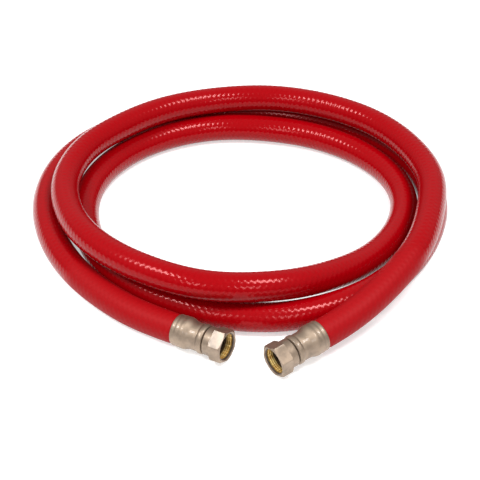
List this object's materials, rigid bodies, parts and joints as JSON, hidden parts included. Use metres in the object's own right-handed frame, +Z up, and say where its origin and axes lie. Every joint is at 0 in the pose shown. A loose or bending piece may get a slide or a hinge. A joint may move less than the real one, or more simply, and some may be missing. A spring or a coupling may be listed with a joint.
{
  "type": "dishwasher supply line",
  "caption": "Flexible braid-reinforced water hose lying in a loose oval coil, with a crimped ferrule and a threaded swivel nut at each end.",
  "frame": {"origin": "on the surface that the coil lies on, under the middle of its outer box", "axes": "+Z up from the surface; -Y is the side where both ends come out of the coil and face each other; +X is to the right seen from that side"},
  "size_m": [0.2373, 0.256, 0.0337],
  "materials": {
    "hose_skin": "glossy red skin over a fine embossed braid",
    "nickel_plate": "satin nickel plate, warm grey",
    "brass": "bare turned brass",
    "seal_rubber": "matt black"
  },
  "bodies": {
    "line": {"hose": "hose_skin", "right_ferrule": "nickel_plate", "right_stem": "brass", "right_seat_washer": "seal_rubber", "left_ferrule": "nickel_plate", "left_stem": "brass", "left_seat_washer": "seal_rubber"},
    "right_nut": {"right_swivel_nut": "nickel_plate"},
    "left_nut": {"left_swivel_nut": "nickel_plate"}
  },
  "joints": [
    {"name": "right_nut_swivel", "type": "hinge", "parent": "line", "child": "right_nut", "pos_m": [0.0205, -0.11806, 0.00975], "axis": [-0.8039, -0.5884, -0.0872], "continuous": true},
    {"name": "left_nut_swivel", "type": "hinge", "parent": "line", "child": "left_nut", "pos_m": [-0.01131, -0.10749, 0.00941], "axis": [0.8582, -0.5116, 0.0419], "continuous": true}
  ]
}
